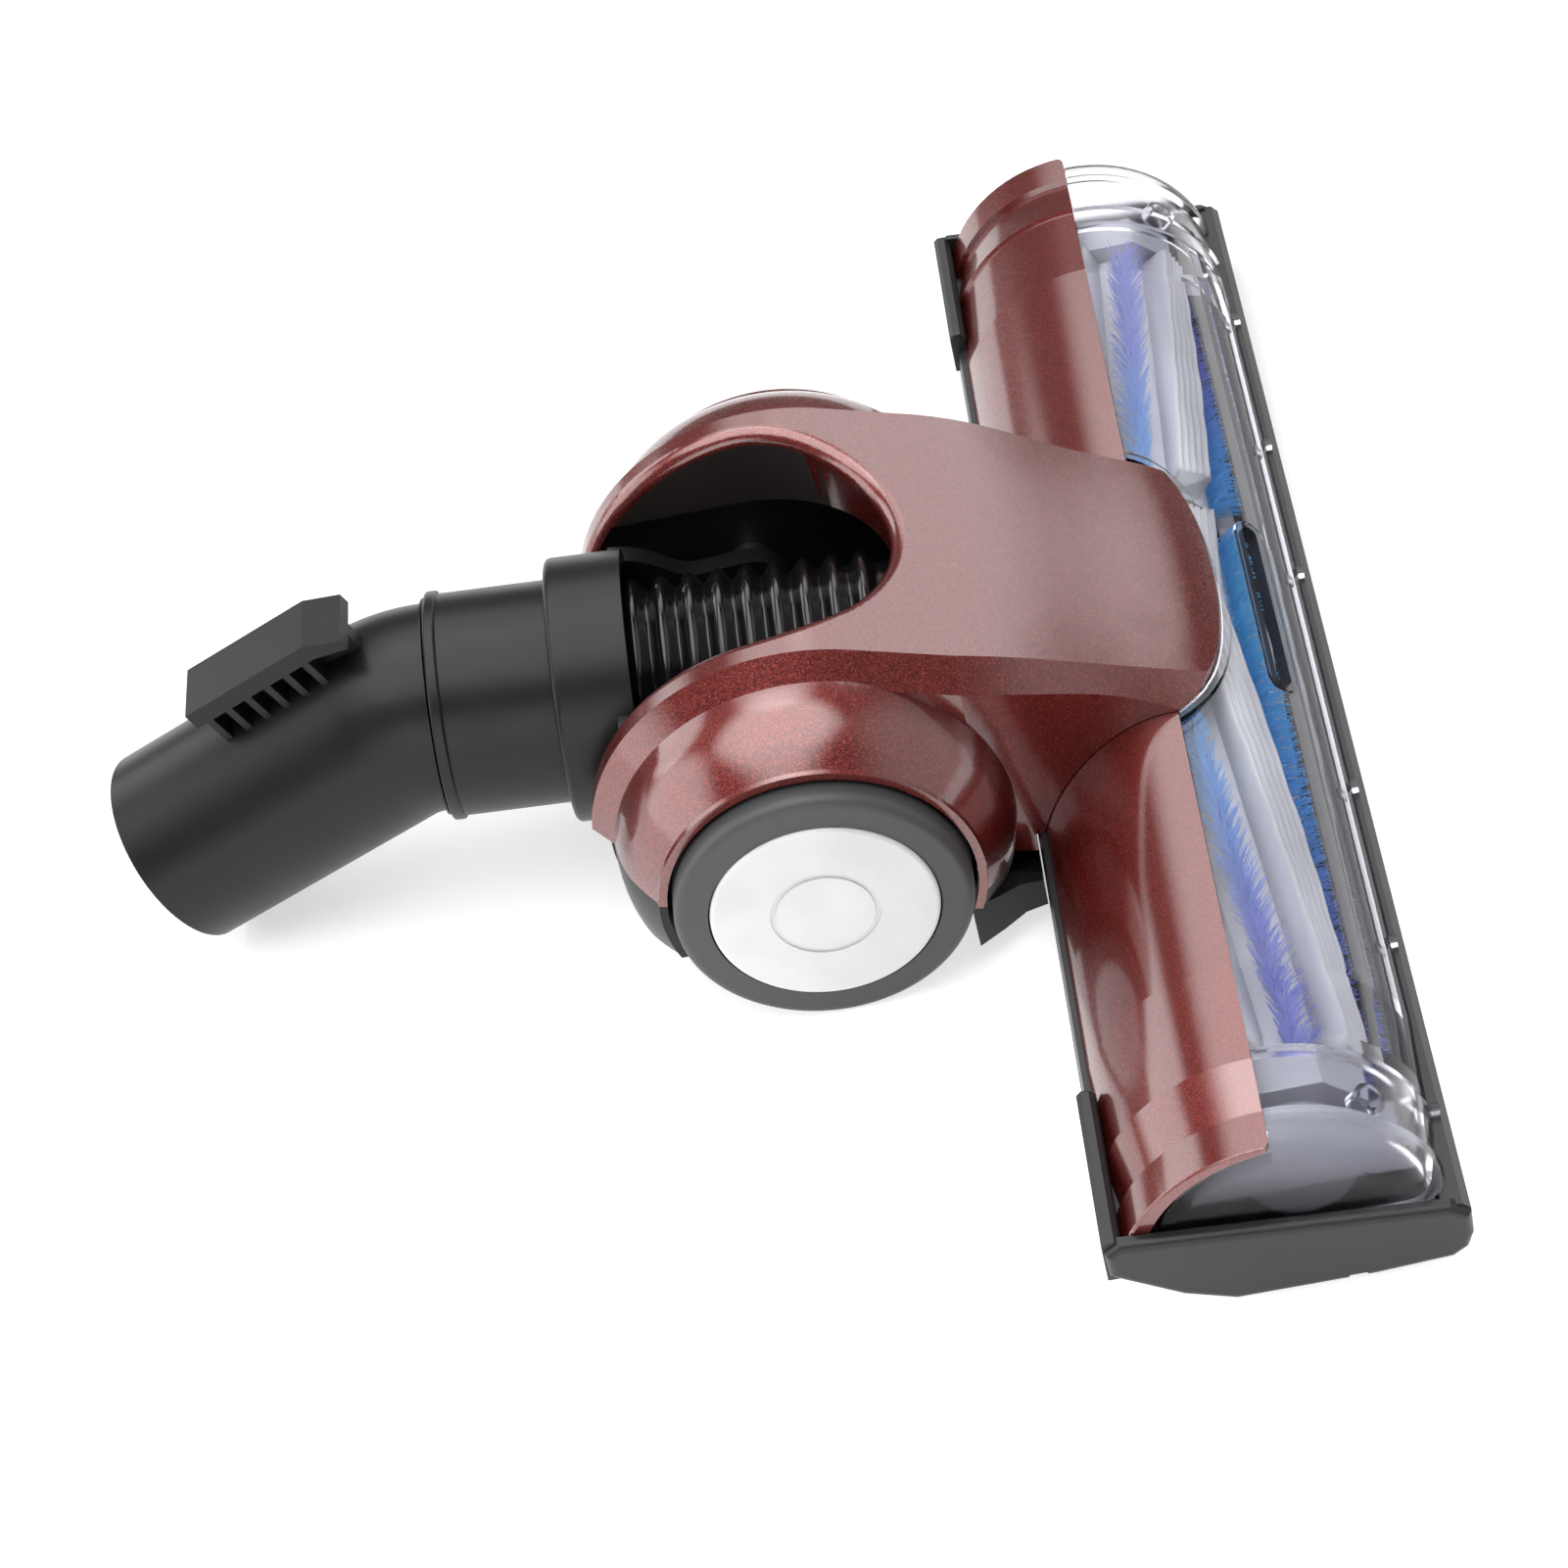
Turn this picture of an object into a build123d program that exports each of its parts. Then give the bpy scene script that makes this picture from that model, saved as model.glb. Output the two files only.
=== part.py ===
from build123d import *
import math
import os

# Vacuum floor brush head with a clear window, a brush roll, a tilting neck and a swivel elbow
# Millimetres, +Z up, X along the brush roll, window to -Y, neck to +Y

# Overall sizes
head_length = 274.0
wall = 2.0
clear = 0.3
running = 0.05
seat = 0.1

# Hood and window dome, centred on a line parallel to X
dome_r = 28.4
dome_lead = 66.6
dome_z = 7.2
seam_lead = 66.3
hood_foot_z = 16.0
window_foot_z = 14.7
end_plate = 2.4
hood_gap = 34.0
window_gap = 0.15
window_round = 5.5
corner_round = 2.0
rib_depth = 1.4

# Bands at both ends of the dome, measured in from the ends of the head
band_one_inset = 21.7
band_two_inset = 10.8
band_run = 20.0
band_fall = 0.8
band_low = 1.7
band_step = 0.6
band_rise = 1.0
band_lean = 0.5

# Brush roll
roll_lead = 71.0
roll_z = 16.0
roll_r = 15.4
core_r = 9.4
journal_r = 5.0
roll_inset = 28.5
row_pairs = 4
row_twist = 0.42
strip_phase = 16.0
holder_gap = 1.0
holder_width = 8.0

# Base
front_lead = 96.2
base_floor_z = 1.8
base_floor = 2.4
slot_reach = 11.6
tab_length = 34.5
tab_top_z = 20.2
screw_inset = 11.0
screw_r = 2.6
lint_inset = 25.0

# Road wheels
tyre_r = 26.3
tyre_bore = 20.4
wheel_inner = 36.0
wheel_outer = 57.0
wheel_axle_r = 3.0
arch_r = 27.2
arch_out = 52.6
arch_flange = 0.9

# Body cover
deck_r = 39.5
deck_half = 38.0
deck_bevel = 4.8
deck_slope = 0.343
nose_lead = 77.6
mouth_half = 27.5
mouth_back = 5.5
foot_z = 22.6
foot_slope = 0.278
deck_join = 30.0
lip_round = 2.6
lip_floor_z = 50.0
rim_gap = 0.3
rim_width = 1.5
rim_height = 1.0

# Neck and elbow
neck_z = 33.8
neck_tilt = 4.87
collar_r = 24.2
collar_front = 28.6
collar_rear = 42.6
tube_r = 20.4
tube_bore = 17.05
ring_front = 62.6
ring_width = 2.2
bend_at = 71.0
bend_angle = 28.7
elbow_r = 19.0
elbow_reach = 54.4
socket_r = 16.0
socket_depth = 34.0
pivot_r = 4.0

# Hose
hose_r = 18.4
hose_valley = 16.7
hose_bore = 15.3
hose_front = -21.0
hose_rear = 34.0
hose_ridges = 9

# Lower tray
tray_front = 37.6
tray_floor_z = 6.0
tray_floor = 2.5
tray_wall_in = 29.8
tray_wall_out = 32.4

# Turbine and belt
turbine_lead = 38.0
turbine_z = 30.0
turbine_r = 13.4
turbine_half = 14.0
belt_x = 30.0
belt_half = 2.5
belt_thick = 1.2
small_pulley_r = 4.8
large_pulley_r = 8.6

# Derived places, with the whole outline centred on the origin in Y
neck_rise = math.radians(neck_tilt)
elbow_fall = math.radians(bend_angle - neck_tilt)
rear_reach = bend_at * math.cos(neck_rise) + elbow_reach * math.cos(elbow_fall) + elbow_r * math.sin(elbow_fall)
axle_y = (front_lead - rear_reach) / 2
half_len = head_length / 2
dome_y = axle_y - dome_lead
roll_y = axle_y - roll_lead
seam_y = axle_y - seam_lead
turbine_y = axle_y - turbine_lead
axle_z = tyre_r
pivot_y = axle_y + mouth_back * math.cos(neck_rise)
pivot_z = neck_z + mouth_back * math.sin(neck_rise)
dome_half = half_len - end_plate
dome_end = dome_half - seat
band_one = half_len - band_one_inset
band_two = half_len - band_two_inset
roll_half = half_len - roll_inset
x_line = (1, 0, 0)

os.makedirs("parts", exist_ok=True)


def save(part, name):
    part.label = name
    export_step(part, "parts/" + name + ".step")


def side_points(points):
    """Turn (lead ahead of the wheel axle as a negative Y, Z) pairs into places on the YZ plane."""
    return [(axle_y + v, z) for v, z in points]


def neck_plane(along):
    """Plane square to the neck axis, at a distance along it from the pivot."""
    rise = neck_rise
    place = (0, axle_y + along * math.cos(rise), neck_z + along * math.sin(rise))
    return Plane(origin=place, x_dir=x_line, z_dir=(0, math.cos(rise), math.sin(rise)))


def roll_plane(x):
    """Plane square to the brush roll at a distance along it, with local Y up."""
    return Plane(origin=(x, roll_y, roll_z), x_dir=(0, 1, 0), z_dir=(1, 0, 0))


def axle_plane(x):
    return Plane(origin=(x, axle_y, axle_z), x_dir=(0, 1, 0), z_dir=(1, 0, 0))


def dome_plane(x):
    return Plane(origin=(x, dome_y, dome_z), x_dir=(0, 1, 0), z_dir=(1, 0, 0))


def neck_tube(start, end, outer, inner=0):
    """Round tube or bar along the neck axis."""
    with BuildPart() as tube:
        with BuildSketch(neck_plane(start)):
            Circle(outer)
            if inner > 0:
                Circle(inner, mode=Mode.SUBTRACT)
        extrude(amount=end - start)
    return tube.part


def dome_form(inset, end, end_round, stepped):
    """Round solid along the dome axis, lower toward its ends, with or without the two steps."""
    radius = dome_r - inset
    half = [(band_one - band_run, radius)]
    if stepped:
        half.append((band_one, radius - band_fall))
        half.append((band_one + band_lean, radius - band_fall + band_step))
        half.append((band_two, radius - band_low))
        half.append((band_two + band_lean, radius - band_low + band_rise))
    else:
        half.append((band_two, radius - band_low))
    half.append((end, half[-1][1]))
    half.append((end, 0))
    mirrored = [(-x, r) for x, r in reversed(half)]
    with BuildPart() as form:
        with BuildSketch(Plane(origin=(0, dome_y, dome_z), x_dir=x_line, z_dir=(0, -1, 0))) as section:
            Polygon(*(mirrored + half), align=None)
            if end_round > 0:
                fillet([v for v in section.vertices() if abs(v.X) > end - 0.01 and v.Y > 1], end_round)
        revolve(axis=Axis((0, dome_y, dome_z), x_line))
    return form.part


def below_foot(lift):
    """Everything under the slanting line where the cover meets the tray."""
    far = 300
    with BuildPart() as block:
        with BuildSketch(Plane.YZ):
            Polygon(
                (axle_y - far, foot_z - far * foot_slope + lift), (axle_y + far, foot_z + far * foot_slope + lift),
                (axle_y + far, -far), (axle_y - far, -far), align=None,
            )
        extrude(amount=far, both=True)
    return block.part


def slab(low, high):
    """Box between two corners, as a solid to add or cut."""
    size = [abs(b - a) for a, b in zip(low, high)]
    middle = [(a + b) / 2 for a, b in zip(low, high)]
    with BuildPart() as block:
        with Locations(tuple(middle)):
            Box(*size)
    return block.part


# Base: a tub with end caps, rear corner tabs and the suction slot in its floor
rail_z = window_foot_z - 2 * seat
tub_outer = [
    (-94.9, rail_z), (-front_lead, rail_z - 1.6), (-front_lead, 7.6), (-95.2, 4.6), (-92.6, 2.7),
    (-80.0, base_floor_z), (-57.0, base_floor_z), (-48.7, 5.2), (-38.0, 12.8), (-38.6, hood_foot_z - seat),
]
tub_inner = [
    (-91.6, rail_z + 20), (-91.6, rail_z - 2.0), (-93.6, rail_z - 4.0), (-93.1, 7.0), (-91.6, 5.7),
    (-80.0, base_floor_z + base_floor), (-57.4, base_floor_z + base_floor), (-50.0, 7.4), (-40.6, 14.2),
    (-41.2, rail_z + 20),
]
cap_outline = [
    (-37.4, tab_top_z - 2.0), (-40.0, tab_top_z), (-93.0, rail_z + 0.6), (-front_lead, rail_z - 1.6),
    (-front_lead, 7.6), (-95.2, 4.6), (-92.6, 2.7), (-80.0, base_floor_z), (-57.0, base_floor_z), (-48.7, 5.2),
    (-37.6, 12.8),
]
tab_outline = [
    (-37.2, 11.0), (-37.2, tab_top_z - 0.8), (-38.0, tab_top_z), (-39.4, tab_top_z), (-40.2, tab_top_z - 0.8),
    (-44.0, 11.0),
]
slot_front = roll_lead + slot_reach
slot_rear = roll_lead - slot_reach
slot_half = roll_half + holder_gap + 0.6
tab_inner = half_len - tab_length
cap_round = 1.5
skin = 1.4
screw_spots = [
    (side * (half_len - screw_inset), lead)
    for side in (-1, 1)
    for lead in (slot_front + 1.9, slot_rear - 1.9)
]
with BuildPart() as base:
    with BuildSketch(Plane.YZ):
        Polygon(*side_points(tub_outer), align=None)
    extrude(amount=half_len - skin, both=True)
    with BuildSketch(Plane.YZ):
        Polygon(*side_points(tub_inner), align=None)
    extrude(amount=dome_half, both=True, mode=Mode.SUBTRACT)
    for side in (-1, 1):
        with BuildPart(mode=Mode.PRIVATE) as cap:
            with BuildSketch(Plane.YZ.offset(side * half_len)):
                Polygon(*side_points(cap_outline), align=None)
            extrude(amount=-side * end_plate)
            outer_face = cap.faces().sort_by(Axis.X)[0 if side < 0 else -1]
            fillet(outer_face.edges(), cap_round)
        add(cap.part)
        with BuildPart(mode=Mode.PRIVATE) as tab:
            with BuildSketch(Plane.YZ.offset(side * (half_len - skin))):
                Polygon(*side_points(tab_outline), align=None)
            extrude(amount=-side * (half_len - skin - tab_inner))
            inner_top = [e for e in tab.edges() if abs(abs(e.center().X) - tab_inner) < 0.01 and e.center().Z > 19]
            fillet(inner_top, 0.7)
        add(tab.part)
    with BuildPart(mode=Mode.PRIVATE) as dome_room:
        with BuildSketch(dome_plane(-dome_half)):
            Circle(dome_r + 2 * seat)
        extrude(amount=2 * dome_half)
        add(slab((-200, -300, -50), (200, 300, hood_foot_z - seat)), mode=Mode.SUBTRACT)
    add(dome_room.part, mode=Mode.SUBTRACT)
    add(slab((-slot_half, axle_y - slot_front, 0), (slot_half, axle_y - slot_rear, 9)), mode=Mode.SUBTRACT)
    add(slab((-hood_gap, axle_y - 45, 12.6), (hood_gap, axle_y - 36, 40)), mode=Mode.SUBTRACT)
    notch = slab((-half_len - 1, axle_y - 78.4, 0), (-half_len + 3, axle_y - 75.4, base_floor_z + 1.4))
    add(notch, mode=Mode.SUBTRACT)
    add(mirror(notch, about=Plane.YZ), mode=Mode.SUBTRACT)
    for x, lead in screw_spots:
        with Locations((x, axle_y - lead, base_floor_z - 0.01)):
            Cylinder(screw_r + clear, 1.31, align=(Align.CENTER, Align.CENTER, Align.MIN), mode=Mode.SUBTRACT)
save(base.part, "base")

# Lint strips beside the suction slot
lint_half = half_len - lint_inset
with BuildPart() as lint_strips:
    for lead in (slot_front + 2.2, slot_rear - 2.0):
        add(slab((-lint_half, axle_y - lead - 1.2, 0.25), (lint_half, axle_y - lead + 1.2, base_floor_z)))
save(lint_strips.part, "lint_strips")

# Screws in the floor of the base
with BuildPart() as base_screws:
    for x, lead in screw_spots:
        with Locations((x, axle_y - lead, base_floor_z)):
            Cylinder(screw_r, 1.2, align=(Align.CENTER, Align.CENTER, Align.MIN))
        with Locations((x, axle_y - lead, base_floor_z)):
            Box(3.6, 0.7, 1.2, mode=Mode.SUBTRACT)
            Box(0.7, 3.6, 1.2, mode=Mode.SUBTRACT)
save(base_screws.part, "base_screws")

# Hood: the rear half of the dome, open at both ends, with its end edges thicker toward the foot
cup_start = dome_end - 5.2
cup_r = dome_r - wall - band_low - seat
cup_ahead = 0.8
cup_lift = 1.9


def cup_bar(side, start, radius):
    """Round bar at one end of the dome, a little above and ahead of its axis."""
    place = (side * start, dome_y - cup_ahead, dome_z + cup_lift)
    with BuildPart() as bar:
        with BuildSketch(Plane(origin=place, x_dir=(0, 1, 0), z_dir=(side, 0, 0))):
            Circle(radius)
        extrude(amount=dome_end - start)
    return bar.part


with BuildPart() as hood:
    add(dome_form(0, dome_end, band_lean, True))
    add(dome_form(wall, dome_end + 1, 0, False), mode=Mode.SUBTRACT)
    for side in (-1, 1):
        add(cup_bar(side, cup_start, cup_r), mode=Mode.SUBTRACT)
    add(slab((-150, -300, -50), (150, seam_y, 90)), mode=Mode.SUBTRACT)
    add(slab((-150, -300, -50), (150, 300, hood_foot_z)), mode=Mode.SUBTRACT)
    add(slab((-hood_gap, axle_y - 58, -50), (hood_gap, 300, 90)), mode=Mode.SUBTRACT)
    with BuildSketch(Plane.XY.offset(hood_foot_z)):
        for side in (-1, 1):
            with Locations((side * dome_end, seam_y)):
                Rectangle(2 * corner_round, 2 * corner_round)
            with Locations((side * (dome_end - corner_round), seam_y + corner_round)):
                Circle(corner_round, mode=Mode.SUBTRACT)
    extrude(amount=60, mode=Mode.SUBTRACT)
save(hood.part, "hood")


def nose_wall(grow):
    """Upright block with the bowed front of the cover's nose, grown by a distance, and wide behind it."""
    turns = [(0, 0, 0), (12, 0.7, 6), (deck_half - 15.1, 2.9, 20), (deck_half - 8.2, 6.2, 37)]
    turns += [(deck_half - 4, 10.2, 55), (deck_half - 1, 17.6, 70)]
    half = []
    for x, back, turn in turns:
        angle = math.radians(turn)
        half.append((x + grow * math.sin(angle), axle_y - nose_lead + back - grow * math.cos(angle)))
    other = [(-x, y) for x, y in reversed(half[1:])]
    wide = 150
    rear = axle_y + 100
    with BuildPart() as block:
        with BuildSketch(Plane.XY):
            with BuildLine():
                Spline(*(other + half))
                Polyline(half[-1], (wide, half[-1][1]), (wide, rear), (-wide, rear), (-wide, half[-1][1]), other[0])
            make_face()
        extrude(amount=90)
    return block.part


# Window: the front half of the dome with end walls, a vent slot, a rim round the nose and small bosses
vent_lean = 42.0
vent_length = 43.0
vent_width = 3.2
boss_inset = 16.4
clip_spots = (-half_len + 21, -78, -40, 18, 56, half_len - 41)
with BuildPart() as window:
    add(dome_form(0, dome_end, window_round, True))
    with BuildPart(mode=Mode.PRIVATE) as rim:
        add(dome_form(-rim_height, dome_end - window_round, 0, False))
        add(nose_wall(rim_gap), mode=Mode.SUBTRACT)
        add(nose_wall(rim_gap + rim_width), mode=Mode.INTERSECT)
    add(rim.part)
    lean = math.radians(vent_lean)
    outward = (0, -math.sin(lean), math.cos(lean))
    vent_at = (-3.5, dome_y + (dome_r - 1) * outward[1], dome_z + (dome_r - 1) * outward[2])
    with BuildSketch(Plane(origin=vent_at, x_dir=x_line, z_dir=outward)):
        SlotOverall(vent_length + 2 * rim_width, vent_width + 2 * rim_width)
    extrude(amount=1 + rim_height / 2)
    add(dome_form(wall, dome_end - wall, window_round - wall, False), mode=Mode.SUBTRACT)
    with BuildSketch(Plane(origin=vent_at, x_dir=x_line, z_dir=outward)):
        SlotOverall(vent_length, vent_width)
    extrude(amount=6, both=True, mode=Mode.SUBTRACT)
    for side in (-1, 1):
        with BuildPart(mode=Mode.PRIVATE) as rib:
            add(dome_form(wall - seat, dome_end - wall, 0, False))
            add(dome_form(wall + rib_depth, dome_end, 0, False), mode=Mode.SUBTRACT)
            add(slab((side * (band_one - 3.7), -300, -50), (side * (band_one - 2.2), 300, 90)), mode=Mode.INTERSECT)
        add(rib.part)
    add(slab((-150, seam_y - window_gap, -50), (150, 300, 90)), mode=Mode.SUBTRACT)
    for side in (-1, 1):
        with BuildPart(mode=Mode.PRIVATE) as cup:
            add(cup_bar(side, cup_start + clear, cup_r - clear))
            fillet(cup.edges().filter_by(GeomType.CIRCLE).sort_by(Axis.X)[0 if side < 0 else -1], 3.0)
            hollow = cup_bar(side, cup_start, cup_r - clear - wall)
            hollow = hollow.moved(Location((-side * wall, 0, 0)))
            add(hollow, mode=Mode.SUBTRACT)
            add(slab((-150, -300, -50), (150, seam_y - window_gap, 90)), mode=Mode.SUBTRACT)
        add(cup.part)
        boss_at = (
            side * (half_len - boss_inset),
            dome_y + (dome_r - 6) * outward[1],
            dome_z + (dome_r - 6) * outward[2],
        )
        with BuildSketch(Plane(origin=boss_at, x_dir=x_line, z_dir=outward)):
            Circle(2.8)
            Circle(1.9, mode=Mode.SUBTRACT)
        extrude(amount=3.4)
    add(slab((-150, -300, -50), (150, 300, window_foot_z)), mode=Mode.SUBTRACT)
    for x in clip_spots:
        add(slab((x - 1, axle_y - 94.9, window_foot_z), (x + 1, axle_y - 92.8, window_foot_z + 1.2)))
save(window.part, "window")

# Bearing blocks at both ends of the roll, the left one with a full end plate
holder_in = roll_half + holder_gap
plate_z = window_foot_z + clear
plate_in = band_two - 2.4
hub_r = 9.0
block = [
    (-58, base_floor_z + base_floor + seat), (-57, 9.0), (-57, 23.0), (-62, 28.2), (-76.6, 28.2), (-83.6, 22.0),
    (-83.6, 13.0), (-88.6, 11.6), (-88.6, 6.6), (-80, base_floor_z + base_floor + seat),
]
for side, name in ((-1, "bearing_left"), (1, "bearing_right")):
    with BuildPart() as holder:
        with BuildSketch(Plane.YZ.offset(side * holder_in)):
            Polygon(*side_points(block), align=None)
        extrude(amount=side * holder_width)
        add(dome_form(wall + rib_depth + clear, dome_end, 0, False), mode=Mode.INTERSECT)
        if side < 0:
            with BuildPart(mode=Mode.PRIVATE) as plate:
                add(dome_form(wall + clear, band_two, 0, False))
                chamfer(plate.edges().filter_by(GeomType.CIRCLE).group_by(Axis.X)[0], band_lean)
                add(slab((-side * 200, -300, -50), (side * plate_in, 300, 90)), mode=Mode.SUBTRACT)
                add(slab((-200, -300, -50), (200, 300, plate_z)), mode=Mode.SUBTRACT)
                add(slab((-200, -300, -50), (200, axle_y - 91.2, 90)), mode=Mode.SUBTRACT)
                add(slab((-200, axle_y - 42.4, -50), (200, 300, 90)), mode=Mode.SUBTRACT)
            add(plate.part)
            with BuildSketch(roll_plane(side * (holder_in + holder_width - 1))):
                Circle(hub_r)
            extrude(amount=side * (plate_in - holder_in - holder_width + 2))
        with BuildSketch(roll_plane(side * (holder_in - 1))):
            Circle(journal_r + running)
        extrude(amount=side * (holder_width + 1), mode=Mode.SUBTRACT)
    save(holder.part, name)

# Brush roll core with end journals and a belt groove
with BuildPart() as roll_core:
    with BuildSketch(roll_plane(-roll_half)):
        Circle(core_r)
    extrude(amount=2 * roll_half)
    with BuildSketch(roll_plane(-roll_half - holder_width)):
        Circle(journal_r)
    extrude(amount=2 * (roll_half + holder_width))
    with BuildSketch(roll_plane(belt_x - belt_half - 1)):
        Circle(core_r + 1)
        Circle(large_pulley_r, mode=Mode.SUBTRACT)
    extrude(amount=2 * belt_half + 2, mode=Mode.SUBTRACT)
save(roll_core.part, "roll_core")


def row_section(x, angle, foot, tip, foot_half, tip_half):
    """Four-sided section of one row, at an angle from the top toward the window."""
    with BuildSketch(roll_plane(x)) as section:
        with Locations(Rotation(0, 0, angle)):
            Polygon((-foot_half, foot), (foot_half, foot), (tip_half, tip), (-tip_half, tip), align=None)
    return section.sketch


def chevron_rows(phase, foot, tip, foot_half, tip_half):
    """Rows that lean toward the window from the middle of the roll to its ends, broken at the belt."""
    third = roll_half / 3
    belt_end = belt_x + belt_half + 2.5
    spans = [
        (-roll_half, -2 * third, -third, 0), (0, belt_x - belt_half - 2.5),
        (belt_end, (belt_end + roll_half) / 2, roll_half),
    ]
    with BuildPart() as rows:
        for number in range(row_pairs):
            start = phase + number * 360 / row_pairs
            for span in spans:
                sections = []
                for x in span:
                    turn = start + row_twist * abs(x)
                    sections.append(row_section(x, turn, foot, tip, foot_half, tip_half))
                loft(sections, ruled=True)
        with BuildSketch(roll_plane(-roll_half - 1)):
            Circle(core_r)
        extrude(amount=2 * roll_half + 2, mode=Mode.SUBTRACT)
    return rows.part


save(chevron_rows(strip_phase - 180 / row_pairs, core_r - 0.5, roll_r, 1.5, 2.6), "bristle_rows")
save(chevron_rows(strip_phase, core_r - 0.5, roll_r - 1.0, 3.2, 3.6), "soft_strips")

# Turbine wheel with its shaft and belt pulley
with BuildPart() as turbine:
    middle = Plane(origin=(0, turbine_y, turbine_z), x_dir=(0, 1, 0), z_dir=x_line)
    with BuildSketch(middle.offset(-turbine_half)):
        Circle(5.0)
        with PolarLocations(0, 10):
            with Locations((turbine_r / 2 + 2, 0)):
                Rectangle(turbine_r - 4, 1.2)
    extrude(amount=2 * turbine_half)
    with BuildSketch(middle.offset(-turbine_half - 5.5)):
        Circle(2.0)
    extrude(amount=belt_x + belt_half + 2 + turbine_half + 5.5)
    with BuildSketch(middle.offset(belt_x - belt_half - 1.6)):
        Circle(small_pulley_r + 1.6)
    extrude(amount=2 * belt_half + 3.2)
    with BuildSketch(middle.offset(belt_x - belt_half - 0.3)):
        Circle(small_pulley_r + 2)
        Circle(small_pulley_r, mode=Mode.SUBTRACT)
    extrude(amount=2 * belt_half + 0.6, mode=Mode.SUBTRACT)
save(turbine.part, "turbine_wheel")

# Turbine housing with the outlet spigot for the hose
housing_half = turbine_half + 4.5
housing_r = turbine_r + 3.0
with BuildPart() as housing:
    with BuildSketch(middle.offset(-housing_half)):
        Circle(housing_r)
    extrude(amount=2 * housing_half)
    for x in (-housing_half + 3, housing_half - 3):
        add(slab((x - 3, turbine_y + 1.5, tray_floor_z + tray_floor), (x + 3, turbine_y + 9, turbine_z)))
    add(neck_tube(-turbine_lead + 4, hose_front + 12, hose_bore - 0.1))
    with BuildSketch(middle.offset(-turbine_half - 0.8)):
        Circle(turbine_r + 0.8)
    extrude(amount=2 * turbine_half + 1.6, mode=Mode.SUBTRACT)
    add(neck_tube(-turbine_lead, hose_front + 13, hose_bore - 2.0), mode=Mode.SUBTRACT)
    add(
        slab((-turbine_half + 2, turbine_y - 20, turbine_z - 9), (turbine_half - 2, turbine_y, turbine_z + 2)),
        mode=Mode.SUBTRACT,
    )
    with BuildSketch(middle.offset(-housing_half - 1)):
        Circle(2.0 + running)
    extrude(amount=2 * housing_half + 2, mode=Mode.SUBTRACT)
save(housing.part, "turbine_housing")

# Drive belt round both pulleys
run_y = roll_y - turbine_y
run_z = roll_z - turbine_z
run = math.hypot(run_y, run_z)
big = large_pulley_r + 2 * running
small = small_pulley_r + 2 * running


def belt_outline(extra):
    """Points round the two pulleys, for an open belt of the given growth."""
    heading = math.atan2(run_z, run_y)
    spread = math.acos((big - small) / run)
    points = []
    steps = 14
    for i in range(steps + 1):
        angle = heading + spread + (2 * math.pi - 2 * spread) * i / steps
        points.append((turbine_y + (small + extra) * math.cos(angle), turbine_z + (small + extra) * math.sin(angle)))
    for i in range(steps + 1):
        angle = heading - spread + 2 * spread * i / steps
        points.append((roll_y + (big + extra) * math.cos(angle), roll_z + (big + extra) * math.sin(angle)))
    return points


with BuildPart() as belt:
    with BuildSketch(Plane.YZ.offset(belt_x - belt_half + 0.3)):
        Polygon(*belt_outline(belt_thick + 0.15), align=None)
        Polygon(*belt_outline(0.15), align=None, mode=Mode.SUBTRACT)
    extrude(amount=2 * belt_half - 0.6)
save(belt.part, "drive_belt")


# Body cover: sloping deck, two wheel pods and flared flanks, hollowed to one wall
def pod_section(side, inset, inner_x, inner_r):
    """Half section of a wheel pod, from a smooth curve that falls to the flange round the wheel arch."""
    edge = arch_out - arch_flange - 0.6 * inset
    curve = [
        (side * inner_x, deck_r - 3.5 - inset), (side * deck_half, deck_r - 4.0 - inset),
        (side * (0.5 * deck_half + 0.5 * edge), deck_r - 5.8 - inset), (side * (edge - 2.6), deck_r - 8.5 - inset),
        (side * edge, deck_r - 10.6 - inset),
    ]
    with BuildSketch(Plane(origin=(0, axle_y, axle_z), x_dir=x_line, z_dir=(0, -1, 0))) as section:
        with BuildLine():
            Spline(*curve)
            Polyline(
                curve[-1], (side * (arch_out - inset), deck_r - 10.8 - inset), (side * (arch_out - inset), inner_r),
                (side * inner_x, inner_r), curve[0],
            )
        make_face()
    return section.sketch


def deck_section(lead, fall, crown, half, bevel, bevel_fall, foot_half, inset):
    """Upright section of the deck, a distance ahead of the axle, with bevelled edges and a crowned top."""
    slope = math.atan(deck_slope)
    top = axle_z + (deck_r - inset) / math.cos(slope) - lead * deck_slope - fall
    edge = half - bevel
    foot = tray_floor_z - inset
    with BuildSketch(Plane(origin=(0, axle_y - lead, 0), x_dir=x_line, z_dir=(0, -1, 0))) as section:
        with BuildLine():
            if crown > 0:
                ThreePointArc((-edge, top), (0, top + crown), (edge, top))
            else:
                Line((-edge, top), (edge, top))
            Polyline((edge, top), (half, top - bevel_fall), (foot_half, foot), (-foot_half, foot))
            Polyline((-foot_half, foot), (-half, top - bevel_fall), (-edge, top))
        make_face()
    return section.sketch


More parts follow.
